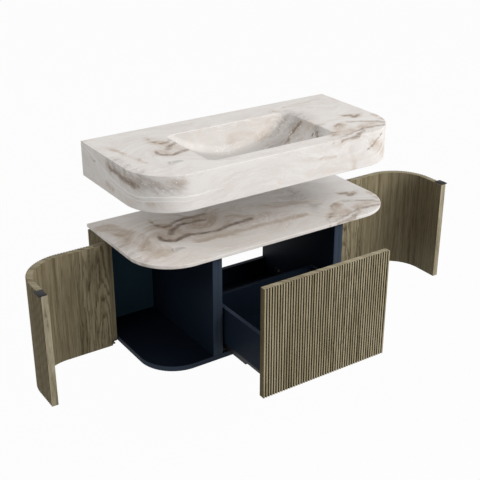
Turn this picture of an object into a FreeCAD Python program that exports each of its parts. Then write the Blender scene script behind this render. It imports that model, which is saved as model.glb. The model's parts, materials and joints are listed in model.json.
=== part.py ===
import FreeCAD, Part
import math
import os

V = FreeCAD.Vector

# Wall-hung vanity unit. Millimetres, +Z up, +X to the right, the wall is the plane Y = 0 and the
# front looks along -Y. The origin is the centre of the hanging rail's back, on the wall.

# Plan shared by the basin and the cover plate
unit_width = 1000.0
unit_depth = 460.0
corner_radius = 156.0
edge_bevel = 1.5

# Cabinet
cover_thickness = 12.0
carcass_height = 388.0
board = 18.0
hanging_rail_height = 96.0
lower_rail_height = 67.0
side_depth = 131.0
wall_screw_hole = 8.0
wall_screw_spacing = 300.0
wall_screw_edge = 30.0

# Fronts: a smooth core with a fluted facing
front_inset = 2.0
front_height = 388.0
shadow_gap = 8.0
core_thickness = 14.0
facing_thickness = 8.0
front_clearance = 1.5
front_gap = 3.0
drawer_front_width = 496.0
flute_pitch = 10.0
flute_width = 4.4
flute_floor = 2.4
flute_depth = 3.5
least_end_rib = 4.0

# Door hinges: offset pivot plates at the top and bottom of each door
pivot_inset = 5.0
pivot_lead = 2.5
hinge_gap = 3.5
pin_radius = 2.0
pin_play = 0.05
pin_end_play = 0.1
hinge_plate = 3.0
hinge_eye = 4.5
hinge_width = 11.0
hinge_length = 46.0
hinge_edge = 1.2
washer_room = 0.8
door_open_angle = 90.0

# Pull plates on the doors
pull_width = 40.0
pull_overhang = 8.5
pull_setback = 2.0
pull_thickness = 2.5
pull_corner = 2.0

# Drawer
drawer_rise = 36.0
box_side_gap = 9.0
box_wall = 15.0
box_base = 12.0
box_height = 132.0
box_depth = 345.0
drawer_pull = 240.0

# Drawer runners, under the box
runner_length = 350.0
runner_front_gap = 3.0
runner_sheet = 1.5
runner_play = 0.3
runner_side_play = 0.5
runner_drop = 24.0
rail_foot = 34.0
rail_web_rise = 20.0
rail_lip = 8.0
slide_start = 10.0
slide_width = 22.0
slide_leg = 10.0

# Basin
basin_gap = 177.0
basin_height = 120.0
basin_wall = 12.0
basin_back_wall = 20.0
bowl_width = 496.0
bowl_length = 290.0
bowl_front_land = 60.0
bowl_depth = 95.0
bowl_round = 25.0
bowl_round_steps = 4
basin_bolt_hole = 12.0
basin_bolt_spacing = 280.0
basin_bolt_drop = 60.0

# Basin waste
waste_hole_radius = 23.5
waste_seat_radius = 33.0
waste_seat_depth = 4.0
waste_boss_radius = 36.0
waste_boss_drop = 5.0
waste_flange_radius = 31.5
waste_flange = 3.5
waste_tube_radius = 22.0
waste_bore_radius = 17.5
waste_tube_length = 78.0
waste_tail_radius = 20.95
waste_tail_length = 45.0
waste_nut_radius = 29.0
waste_nut_height = 10.0
waste_cover_radius = 29.0
waste_cover_lift = 6.0
waste_cover_thickness = 4.0
waste_stem_radius = 4.0
waste_bridge = 5.0
waste_bridge_drop = 14.0

# Levels worked out from the sizes above
cover_under = hanging_rail_height / 2
cover_top = cover_under + cover_thickness
carcass_under = cover_under - carcass_height
floor_top = carcass_under + board
front_top = cover_under - shadow_gap
front_bottom = front_top - front_height
basin_bottom = cover_top + basin_gap
basin_top = basin_bottom + basin_height
deck_under = basin_top - basin_wall

# Faces worked out from the sizes above, on the right half of the unit
front_x = unit_width / 2 - front_inset
front_y = unit_depth - front_inset
front_radius = corner_radius - front_inset
front_thickness = core_thickness + facing_thickness
carcass_x = front_x - front_thickness - front_clearance
carcass_y = front_y - front_thickness - front_clearance
carcass_radius = front_radius - front_thickness - front_clearance
door_end_x = drawer_front_width / 2 + front_gap
seam_x = drawer_front_width / 2 + front_gap / 2
drawer_bay_x = seam_x - board
end_bay_x = seam_x + board
hinge_end_y = -side_depth - hinge_gap
pivot_x = front_x - pivot_inset
pivot_y = -side_depth + pivot_lead
side_top = front_top - washer_room
box_x = drawer_bay_x - box_side_gap
box_front_y = -front_y + front_thickness
box_back_y = box_front_y + box_depth
box_bottom = floor_top + drawer_rise
bowl_centre_y = -unit_depth + bowl_front_land + bowl_length / 2
bowl_floor = basin_top - bowl_depth


def block(x0, x1, y0, y1, z0, z1):
    return Part.makeBox(x1 - x0, y1 - y0, z1 - z0, V(x0, y0, z0))


def upright(x, y, radius, z0, z1):
    return Part.makeCylinder(radius, z1 - z0, V(x, y, z0))


def mirrored(shape):
    return shape.mirror(V(0, 0, 0), V(1, 0, 0))


def prism(edges, height):
    return Part.Face(Part.Wire(edges)).extrude(V(0, 0, height))


def polygon_prism(points, z0, z1):
    corners = [V(x, y, z0) for x, y in points]
    return Part.Face(Part.makePolygon(corners + corners[:1])).extrude(V(0, 0, z1 - z0))


def quarter(centre, radius, start, z):
    angles = [math.radians(start + step) for step in (0, 45, 90)]
    return [V(centre[0] + radius * math.cos(a), centre[1] + radius * math.sin(a), z) for a in angles]


def slab(half, back, front, radius, z0, z1):
    # Square corners at the back, rounded corners at the front
    left = quarter((-half + radius, front + radius), radius, 180, z0)
    right = quarter((half - radius, front + radius), radius, 270, z0)
    back_left = V(-half, back, z0)
    back_right = V(half, back, z0)
    edges = [
        Part.LineSegment(back_left, left[0]).toShape(),
        Part.Arc(*left).toShape(),
        Part.LineSegment(left[2], right[0]).toShape(),
        Part.Arc(*right).toShape(),
        Part.LineSegment(right[2], back_right).toShape(),
        Part.LineSegment(back_right, back_left).toShape(),
    ]
    return prism(edges, z1 - z0)


def bevelled(plate, z):
    # Bevels the upper edges that show, so not the one on the wall
    edges = [e for e in plate.Edges if all(abs(v.Z - z) < 1e-6 for v in e.Vertexes)]
    return plate.makeChamfer(edge_bevel, [e for e in edges if e.CenterOfMass.y < -edge_bevel])


def front_layer(outer, inner):
    # Plan of the closed left door between two depths below its outer face
    turn = (-front_x + front_radius, -front_y + front_radius)
    far = quarter(turn, front_radius - outer, 180, front_bottom)
    near = quarter(turn, front_radius - inner, 180, front_bottom)
    hinge_far = V(-front_x + outer, hinge_end_y, front_bottom)
    hinge_near = V(-front_x + inner, hinge_end_y, front_bottom)
    free_far = V(-door_end_x, -front_y + outer, front_bottom)
    free_near = V(-door_end_x, -front_y + inner, front_bottom)
    edges = [
        Part.LineSegment(hinge_far, far[0]).toShape(),
        Part.Arc(*far).toShape(),
        Part.LineSegment(far[2], free_far).toShape(),
        Part.LineSegment(free_far, free_near).toShape(),
        Part.LineSegment(free_near, near[2]).toShape(),
        Part.Arc(*reversed(near)).toShape(),
        Part.LineSegment(near[0], hinge_near).toShape(),
        Part.LineSegment(hinge_near, hinge_far).toShape(),
    ]
    return prism(edges, front_height)


def flute_cutter(z0, z1):
    # One groove with leaning walls and a flat floor, cut from a face that looks along +X
    lean = (flute_width - flute_floor) / 2 / flute_depth
    wide = flute_width / 2 + flute_depth * lean
    narrow = flute_floor / 2
    points = [(flute_depth, -wide), (-flute_depth, -narrow), (-flute_depth, narrow), (flute_depth, wide)]
    return polygon_prism(points, z0, z1)


def flute_places(length):
    count = int((length - flute_width - 2 * least_end_rib) / flute_pitch) + 1
    first = (length - (count - 1) * flute_pitch) / 2
    return [first + i * flute_pitch for i in range(count)]


def grooves(spots, z0, z1):
    # Each spot is a point on the face and the angle that the face looks along
    cutters = []
    for x, y, angle in spots:
        cutter = flute_cutter(z0, z1)
        cutter.rotate(V(0, 0, 0), V(0, 0, 1), angle)
        cutter.translate(V(x, y, 0))
        cutters.append(cutter)
    return cutters


def door_spots():
    side = front_y - front_radius + hinge_end_y
    bend = front_radius * math.pi / 2
    face = front_x - front_radius - door_end_x
    spots = []
    for s in flute_places(side + bend + face):
        if s < side:
            spots.append((-front_x, hinge_end_y - s, 180))
        elif s < side + bend:
            angle = math.pi + (s - side) / front_radius
            x = -front_x + front_radius + front_radius * math.cos(angle)
            y = -front_y + front_radius + front_radius * math.sin(angle)
            spots.append((x, y, math.degrees(angle)))
        else:
            spots.append((-front_x + front_radius + s - side - bend, -front_y, 270))
    return spots


def hinge_outline(z0, z1, fixed):
    # Flat plate with an eye round the pin; the fixed plate runs back and the door's runs forward
    x_in = -front_x + facing_thickness + hinge_edge
    ahead = pivot_y - hinge_eye
    behind = pivot_y + hinge_eye
    reach = behind + hinge_length if fixed else ahead - hinge_length
    eye = upright(-pivot_x, pivot_y, hinge_eye, z0, z1)
    ear = block(-pivot_x, x_in, ahead, behind, z0, z1)
    blade = block(x_in, x_in + hinge_width, min(reach, ahead), max(reach, behind), z0, z1)
    return eye.fuse([ear, blade]).removeSplitter()


def pin_hole(radius, z0, z1):
    return upright(-pivot_x, pivot_y, radius, z0, z1)


parts = {}

# Basin: sheets bonded to a slab that is hollow and open underneath, round a bowl scooped by one drum
bowl_arc = ((bowl_width / 2) ** 2 + bowl_depth ** 2) / (2 * bowl_depth)


def bowl_scoop():
    # Drum that lies along Y, each end's corner rounded by a few narrow cones
    axis = V(0, bowl_centre_y, bowl_floor + bowl_arc)
    end = bowl_length / 2
    corner = []
    for step in range(bowl_round_steps + 1):
        turn = math.pi / 2 * step / bowl_round_steps
        corner.append((end - bowl_round * (1 - math.cos(turn)), bowl_arc - bowl_round * (1 - math.sin(turn))))
    outline = [(end, 0)] + corner + [(-y, radius) for y, radius in reversed(corner)] + [(-end, 0)]
    points = [axis + V(0, y, -radius) for y, radius in outline]
    return Part.Face(Part.makePolygon(points + points[:1])).revolve(axis, V(0, 1, 0), 360)


scoop = bowl_scoop()
deck = slab(unit_width / 2, 0, -unit_depth, corner_radius, deck_under, basin_top)
parts["basin_deck"] = bevelled(deck, basin_top).cut(scoop)
boss_under = bowl_floor - basin_wall - waste_boss_drop
seat_z = bowl_floor - waste_seat_depth
shell_end = V(0, bowl_centre_y - bowl_length / 2 - basin_wall, bowl_floor + bowl_arc)
bowl = Part.makeCylinder(bowl_arc + basin_wall, bowl_length + 2 * basin_wall, shell_end, V(0, 1, 0))
bowl = bowl.common(block(-unit_width, unit_width, -unit_depth, 0, basin_bottom, deck_under))
bowl = bowl.fuse(upright(0, bowl_centre_y, waste_boss_radius, boss_under, bowl_floor))
parts["basin_bowl"] = bowl.cut([
    scoop,
    upright(0, bowl_centre_y, waste_seat_radius, seat_z, basin_top),
    upright(0, bowl_centre_y, waste_hole_radius, boss_under, bowl_floor),
])
inside_x = unit_width / 2 - basin_wall
apron = slab(unit_width / 2, 0, -unit_depth, corner_radius, basin_bottom, deck_under)
parts["basin_apron"] = apron.cut(
    slab(inside_x, 0, -unit_depth + basin_wall, corner_radius - basin_wall, basin_bottom, deck_under))
back_wall = block(-inside_x, inside_x, -basin_back_wall, 0, basin_bottom, deck_under)
for side in (-1, 1):
    start = V(side * basin_bolt_spacing / 2, -basin_back_wall, basin_top - basin_bolt_drop)
    back_wall = back_wall.cut(Part.makeCylinder(basin_bolt_hole / 2, basin_back_wall, start, V(0, 1, 0)))
parts["basin_back_wall"] = back_wall


def turned(outline):
    # Turns an outline of radii and heights about the waste's axis
    corners = [V(radius, bowl_centre_y, z) for radius, z in outline]
    face = Part.Face(Part.makePolygon(corners + corners[:1]))
    return face.revolve(V(0, bowl_centre_y, 0), V(0, 0, 1), 360)


# Waste: flanged tube with a tail for the trap, nut, and a cover that stays open all round
flange_top = seat_z + waste_flange
tube_bottom = flange_top - waste_tube_length
tail_top = tube_bottom + waste_tail_length
tube = turned([
    (waste_bore_radius, flange_top), (waste_flange_radius, flange_top), (waste_flange_radius, seat_z),
    (waste_tube_radius, seat_z), (waste_tube_radius, tail_top), (waste_tail_radius, tail_top),
    (waste_tail_radius, tube_bottom), (waste_bore_radius, tube_bottom),
])
bridge_top = flange_top - waste_bridge_drop
bridge = block(-waste_tube_radius, waste_tube_radius, bowl_centre_y - waste_bridge,
               bowl_centre_y + waste_bridge, bridge_top - waste_bridge, bridge_top)
bridge = bridge.common(upright(0, bowl_centre_y, waste_tube_radius, tube_bottom, flange_top))
parts["waste_body"] = tube.fuse(bridge).removeSplitter()
cap_under = flange_top + waste_cover_lift
cap_top = cap_under + waste_cover_thickness
parts["waste_cover"] = turned([
    (0, bridge_top), (waste_stem_radius, bridge_top), (waste_stem_radius, cap_under),
    (waste_cover_radius, cap_under), (waste_cover_radius, cap_top), (0, cap_top),
])
nut_under = boss_under - waste_nut_height
hexagon = [(waste_nut_radius * math.cos(math.radians(60 * i)),
            bowl_centre_y + waste_nut_radius * math.sin(math.radians(60 * i))) for i in range(6)]
nut_bore = upright(0, bowl_centre_y, waste_tube_radius, nut_under, boss_under)
parts["waste_nut"] = polygon_prism(hexagon, nut_under, boss_under).cut(nut_bore)

# Cover plate and carcass
cover = slab(unit_width / 2, 0, -unit_depth, corner_radius, cover_under, cover_top)
parts["cover_plate"] = bevelled(cover, cover_top)
parts["bottom_panel"] = slab(carcass_x, 0, -carcass_y, carcass_radius, carcass_under, floor_top)
parts["left_drawer_panel"] = block(-seam_x, -drawer_bay_x, -carcass_y, 0, floor_top, cover_under)
parts["left_end_partition"] = block(-end_bay_x, -seam_x, -carcass_y, 0, floor_top, cover_under)
parts["left_back_panel"] = block(-carcass_x, -end_bay_x, -board, 0, floor_top, cover_under)


def wall_rail(z0, z1):
    rail = block(-drawer_bay_x, drawer_bay_x, -board, 0, z0, z1)
    for side in (-1, 1):
        start = V(side * wall_screw_spacing / 2, -board, z1 - wall_screw_edge)
        rail = rail.cut(Part.makeCylinder(wall_screw_hole / 2, board, start, V(0, 1, 0)))
    return rail


parts["hanging_rail"] = wall_rail(cover_under - hanging_rail_height, cover_under)
parts["lower_back_rail"] = wall_rail(floor_top, floor_top + lower_rail_height)

# Fixed side panel behind each door, with its fluted facing, and the hinge plates let into its ends
lower_plate_top = carcass_under + hinge_plate
upper_plate_under = side_top - hinge_plate
plates = {
    "upper": hinge_outline(upper_plate_under, side_top, True),
    "lower": hinge_outline(carcass_under, lower_plate_top, True),
}
side_face = -front_x + facing_thickness
side_core = block(side_face, -carcass_x, -side_depth, 0, carcass_under, side_top)
parts["left_side_panel"] = side_core.cut(list(plates.values()))
side_facing = block(-front_x, side_face, -side_depth, 0, carcass_under, side_top)
side_spots = [(-front_x, -s, 180) for s in flute_places(side_depth)]
side_facing = side_facing.cut(grooves(side_spots, carcass_under, side_top))
parts["left_side_facing"] = side_facing.cut(list(plates.values()))
pin_bore = pin_hole(pin_radius + pin_play, carcass_under, side_top)
for name, plate in plates.items():
    parts["left_" + name + "_hinge_plate"] = plate.cut(pin_bore)

# Left door, drawn closed: core, fluted facing, pull plate, hinge arms and their pins
upper_arm_under = front_top
lower_arm_top = carcass_under - washer_room
arms = {
    "upper": hinge_outline(upper_arm_under, upper_arm_under + hinge_plate, False),
    "lower": hinge_outline(lower_arm_top - hinge_plate, lower_arm_top, False),
}
arm_x = -front_x + facing_thickness + hinge_edge
mortise = block(arm_x, arm_x + hinge_width, pivot_y - hinge_eye - hinge_length, hinge_end_y,
                front_bottom, lower_arm_top)
door = {"left_door_panel": front_layer(facing_thickness, front_thickness).cut(mortise)}
facing = front_layer(0, facing_thickness)
door["left_door_facing"] = facing.cut(grooves(door_spots(), front_bottom, front_top))
pull = block(-door_end_x - pull_width, -door_end_x, -front_y - pull_overhang,
             -front_y + front_thickness - pull_setback, front_top, front_top + pull_thickness)
upright_edges = [e for e in pull.Edges if abs(e.Vertexes[0].Z - e.Vertexes[-1].Z) > pull_thickness / 2]
door["left_door_pull"] = pull.makeChamfer(pull_corner, upright_edges)
upper_pin = pin_hole(pin_radius, upper_plate_under + pin_end_play, upper_arm_under + hinge_plate)
lower_pin = pin_hole(pin_radius, lower_arm_top - hinge_plate, lower_plate_top - pin_end_play)
arm_bore = pin_hole(pin_radius, front_bottom, cover_under)
for name, arm in arms.items():
    door["left_" + name + "_hinge_arm"] = arm.cut(arm_bore)
door["left_hinge_pins"] = Part.makeCompound([upper_pin, lower_pin])
for name, shape in door.items():
    shape.rotate(V(-pivot_x, pivot_y, 0), V(0, 0, 1), -door_open_angle)
    parts[name] = shape

# Runner on the left: rail on the drawer panel, middle member, and slide under the drawer
runner_front = box_front_y + runner_front_gap
runner_back = runner_front + runner_length
rail_under = box_bottom - runner_drop
foot_top = rail_under + runner_sheet
rail = block(-drawer_bay_x, -drawer_bay_x + runner_sheet, runner_front, runner_back,
             rail_under, box_bottom + rail_web_rise)
foot = block(-drawer_bay_x, -drawer_bay_x + rail_foot, runner_front, runner_back, rail_under, foot_top)
lip = block(-drawer_bay_x + rail_foot - runner_sheet, -drawer_bay_x + rail_foot, runner_front, runner_back,
            rail_under, foot_top + rail_lip)
parts["left_runner_rail"] = rail.fuse([foot, lip]).removeSplitter()
slide_x = -drawer_bay_x + slide_start
slide_end_x = slide_x + slide_width
slide_sheet = box_bottom - runner_sheet
slide = block(slide_x, slide_end_x, runner_front, box_back_y, slide_sheet - slide_leg, box_bottom)
slide = slide.cut(block(slide_x + runner_sheet, slide_end_x - runner_sheet, runner_front, box_back_y,
                        slide_sheet - slide_leg, slide_sheet))
middle_x = slide_x + runner_sheet + runner_side_play
middle_end_x = slide_end_x - runner_sheet - runner_side_play
middle_top = slide_sheet - runner_play
middle_under = foot_top + runner_play
middle = block(middle_x, middle_end_x, runner_front, runner_back, middle_under, middle_top)
middle = middle.cut(block(middle_x + runner_sheet, middle_end_x - runner_sheet, runner_front, runner_back,
                          middle_under + runner_sheet, middle_top - runner_sheet))
slide.translate(V(0, -drawer_pull, 0))
middle.translate(V(0, -drawer_pull / 2, 0))
parts["left_runner_slide"] = slide
parts["left_runner_middle"] = middle

# Drawer, drawn closed: front core, fluted facing and the box behind them
half_front = drawer_front_width / 2
box_top = box_bottom + box_height
inner_x = box_x - box_wall
core_y = -front_y + facing_thickness
drawer_facing = block(-half_front, half_front, -front_y, core_y, front_bottom, front_top)
drawer_spots = [(s - half_front, -front_y, 270) for s in flute_places(drawer_front_width)]
drawer = {
    "drawer_front_panel": block(-half_front, half_front, core_y, box_front_y, front_bottom, front_top),
    "drawer_front_facing": drawer_facing.cut(grooves(drawer_spots, front_bottom, front_top)),
    "drawer_left_side": block(-box_x, -inner_x, box_front_y, box_back_y, box_bottom, box_top),
    "drawer_right_side": block(inner_x, box_x, box_front_y, box_back_y, box_bottom, box_top),
    "drawer_inner_front": block(-inner_x, inner_x, box_front_y, box_front_y + box_wall, box_bottom, box_top),
    "drawer_back": block(-inner_x, inner_x, box_back_y - box_wall, box_back_y, box_bottom, box_top),
    "drawer_bottom": block(-inner_x, inner_x, box_front_y + box_wall, box_back_y - box_wall,
                           box_bottom, box_bottom + box_base),
}
for name, shape in drawer.items():
    shape.translate(V(0, -drawer_pull, 0))
    parts[name] = shape

# The right half repeats the left half
for name in [n for n in parts if n.startswith("left_")]:
    parts[name.replace("left_", "right_")] = mirrored(parts[name])

os.makedirs("parts", exist_ok=True)
for name, shape in parts.items():
    shape.exportStep("parts/" + name + ".step")
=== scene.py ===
import bmesh
import bpy
import json
import math
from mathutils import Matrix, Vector


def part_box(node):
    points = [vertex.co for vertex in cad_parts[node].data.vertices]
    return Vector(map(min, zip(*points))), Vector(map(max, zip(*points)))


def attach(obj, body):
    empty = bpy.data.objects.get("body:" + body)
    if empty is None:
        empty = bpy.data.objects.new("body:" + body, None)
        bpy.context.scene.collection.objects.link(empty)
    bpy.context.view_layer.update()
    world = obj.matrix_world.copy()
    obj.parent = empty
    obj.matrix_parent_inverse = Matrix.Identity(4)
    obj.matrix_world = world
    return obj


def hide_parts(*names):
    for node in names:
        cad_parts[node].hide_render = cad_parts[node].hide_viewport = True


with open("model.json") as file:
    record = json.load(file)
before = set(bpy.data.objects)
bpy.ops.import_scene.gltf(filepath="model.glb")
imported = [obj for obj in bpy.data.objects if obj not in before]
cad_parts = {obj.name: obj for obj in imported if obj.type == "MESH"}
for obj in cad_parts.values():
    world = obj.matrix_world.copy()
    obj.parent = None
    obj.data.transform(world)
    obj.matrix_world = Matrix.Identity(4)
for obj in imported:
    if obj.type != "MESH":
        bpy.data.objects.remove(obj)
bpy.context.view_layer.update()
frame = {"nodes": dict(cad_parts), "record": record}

# Wall-hung vanity unit in metres: +X right, the wall at Y = 0, the front looks along -Y.
# Doors and drawer stand open here, as in the photograph.

mm = 0.001
past = 1 * mm  # how far a cutter or a test reaches past a face
mergeGap = 0.01 * mm


# modelling helpers

def near(a, *others):
    return all(abs(a - other) < 2 * mergeGap for other in others)


def dropSelection():
    bpy.ops.object.select_all(action="DESELECT")


def only(piece):  # the one selected and active object
    dropSelection()
    piece.select_set(True)
    bpy.context.view_layer.objects.active = piece


def pickAll():
    bpy.ops.mesh.select_all(action="SELECT")


def edit(piece):
    only(piece)
    bpy.ops.object.mode_set(mode="EDIT")
    pickAll()


def done():
    bpy.ops.object.mode_set(mode="OBJECT")


def settled(piece):  # its place, turn and scale go into its mesh
    bpy.ops.object.transform_apply(location=True, rotation=True, scale=True)
    return piece


def startBlock(name, low, high):
    dropSelection()
    bpy.ops.mesh.primitive_cube_add(size=1, location=[(a + b) / 2 for a, b in zip(low, high)])
    block = bpy.context.object
    block.name = name
    block.scale = [b - a for a, b in zip(low, high)]
    return settled(block)


def startDrum(name, radius, depth, middle, turn=(0, 0, 0), corners=48):
    dropSelection()
    bpy.ops.mesh.primitive_cylinder_add(vertices=corners, radius=radius, depth=depth,
                                        location=middle, rotation=turn)
    drum = bpy.context.object
    drum.name = name
    return settled(drum)


def pick(piece, kind, test):
    bpy.ops.mesh.select_mode(type=kind)
    bpy.ops.mesh.select_all(action="DESELECT")
    mesh = bmesh.from_edit_mesh(piece.data)
    mesh.normal_update()
    for part in {"FACE": mesh.faces, "EDGE": mesh.edges, "VERT": mesh.verts}[kind]:
        part.select_set(test(part))
    bmesh.update_edit_mesh(piece.data)


def pickFaces(piece, test):  # by centre and normal
    pick(piece, "FACE", lambda face: test(face.calc_center_median(), face.normal))


def pickEdges(piece, test):  # by the places of both ends
    pick(piece, "EDGE", lambda edge: test(edge.verts[0].co, edge.verts[1].co))


def pickPoints(piece, test):
    pick(piece, "VERT", lambda point: test(point.co))


def bevelEdges(piece, test, width, steps):
    pickEdges(piece, test)
    bpy.ops.mesh.bevel(offset=width, segments=steps, affect="EDGES", profile=0.5)


def extrude(move):
    bpy.ops.mesh.extrude_region_move(TRANSFORM_OT_translate={"value": move})


def slide(move):
    bpy.ops.transform.translate(value=move)


def modify(piece, kind, **settings):
    change = piece.modifiers.new(kind.lower(), kind)
    for key, value in settings.items():
        setattr(change, key, value)
    only(piece)
    bpy.ops.object.modifier_apply(modifier=change.name)


def combine(piece, tool, operation):
    modify(piece, "BOOLEAN", operation=operation, object=tool, solver="EXACT")
    bpy.data.objects.remove(tool)


def cut(piece, tool):
    combine(piece, tool, "DIFFERENCE")


def smooth(piece, angle=40):
    only(piece)
    bpy.ops.object.shade_smooth_by_angle(angle=math.radians(angle))


def faceOutwards():
    pickAll()
    bpy.ops.mesh.normals_make_consistent(inside=False)


def twinOf(piece, name):  # a copy with its own mesh, open for editing
    only(piece)
    bpy.ops.object.duplicate()
    twin = bpy.context.object
    twin.name = name
    edit(twin)
    return twin


def flipped(piece, name, factors, middle=(0, 0, 0)):
    twin = twinOf(piece, name)
    bpy.ops.transform.resize(value=factors, center_override=middle)
    faceOutwards()
    done()
    return twin


def copied(piece, name, move):
    twin = twinOf(piece, name)
    slide(move)
    done()
    return twin


def joined(name, parts):
    dropSelection()
    for part in parts:
        part.select_set(True)
    bpy.context.view_layer.objects.active = parts[0]
    bpy.ops.object.join()
    parts[0].name = name
    return parts[0]


def fit(piece, finishName, body, slotName, *nodes):  # finish, body and the CAD nodes it stands for
    piece.data.materials.clear()
    piece.data.materials.append(finishes[finishName])
    piece.data.name = piece.name
    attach(piece, body)
    if nodes:
        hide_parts(*nodes)


def fitPair(left, finishName, body, slotName, *nodes):  # the left piece and its mirrored twin
    right = flipped(left, left.name.replace("left", "right"), (-1, 1, 1))
    fit(left, finishName, body, slotName, *nodes)
    fit(right, finishName, body.replace("left", "right"), slotName,
        *[node.replace("left", "right") for node in nodes])
    return left, right


# shader helpers

def bothWays(operation):  # a Math node with the wire first, and one with it second
    return (lambda wire, other: wire.sum(operation, wire, other),
            lambda wire, other: wire.sum(operation, other, wire))


class Wire:  # a socket that takes part in plain sums

    def __init__(self, tree, socket):
        self.tree = tree
        self.socket = socket

    def node(self, kind, settings, values, out=0):
        made = self.tree.nodes.new("ShaderNode" + kind)
        for key, value in settings.items():
            if key == "stops":
                ramp = made.color_ramp
                while len(ramp.elements) < len(value):
                    ramp.elements.new(1)
                for stop, (place, colour) in zip(ramp.elements, value):
                    stop.position = place
                    stop.color = colour
            else:
                setattr(made, key, value)
        for key, value in values.items():
            if isinstance(value, Wire):
                self.tree.links.new(value.socket, made.inputs[key])
            else:
                made.inputs[key].default_value = value
        return Wire(self.tree, made.outputs[out])

    def sum(self, operation, first, second):
        return self.node("Math", {"operation": operation}, {0: first, 1: second})

    def vector(self, operation, first, second, out=0):
        return self.node("VectorMath", {"operation": operation}, {0: first, 1: second}, out)

    __add__, __radd__ = bothWays("ADD")
    __sub__, __rsub__ = bothWays("SUBTRACT")
    __mul__, __rmul__ = bothWays("MULTIPLY")
    __truediv__, __rtruediv__ = bothWays("DIVIDE")
    __pow__, __rpow__ = bothWays("POWER")

    def __abs__(self):
        return self.node("Math", {"operation": "ABSOLUTE"}, {0: self})


def newFinish(name, gloss=0.5):
    finish = bpy.data.materials.new(name)
    finish.use_nodes = True
    tree = finish.node_tree
    shader = tree.nodes["Principled BSDF"]
    shader.inputs["Specular IOR Level"].default_value = gloss
    place = Wire(tree, tree.nodes.new("ShaderNodeTexCoord").outputs["Object"])
    return finish, place, shader


def feed(shader, name, wire):
    wire.tree.links.new(wire.socket, shader.inputs[name])


def axes(place):  # its X, Y and Z
    split = place.tree.nodes.new("ShaderNodeSeparateXYZ")
    place.tree.links.new(place.socket, split.inputs[0])
    return [Wire(place.tree, part) for part in split.outputs]


def attribute(place, name):
    return place.node("Attribute", {"attribute_name": name}, {}, out="Fac")


def scaled(place, by):
    return place.vector("MULTIPLY", place, by)


def moved(place, by):
    return place.vector("ADD", place, by)


def grain(place, scale, detail=4, rough=0.5):
    return place.node("TexNoise", {}, {"Vector": place, "Scale": scale, "Detail": detail, "Roughness": rough})


def step(value, low, high):
    return value.node("MapRange", {"interpolation_type": "SMOOTHSTEP"},
                      {"Value": value, "From Min": low, "From Max": high})


def mix(share, first, second):
    return share.node("Mix", {"data_type": "RGBA"}, {0: share, 6: first, 7: second}, out=2)


def ramp(value, stops):
    return value.node("ValToRGB", {"stops": stops}, {0: value})


def tinted(colour, tone):
    settings = {"data_type": "RGBA", "blend_type": "MULTIPLY"}
    return colour.node("Mix", settings, {0: 1.0, 6: colour, 7: tone}, out=2)


def clamped(value):
    return value.node("Clamp", {}, {0: value})


def folded(value):  # to and fro between 0 and 1
    return value.node("Math", {"operation": "PINGPONG"}, {0: value, 1: 1.0})


def bump(height, strength, distance):
    return height.node("Bump", {}, {"Strength": strength, "Distance": distance, "Height": height})


# finishes

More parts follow.
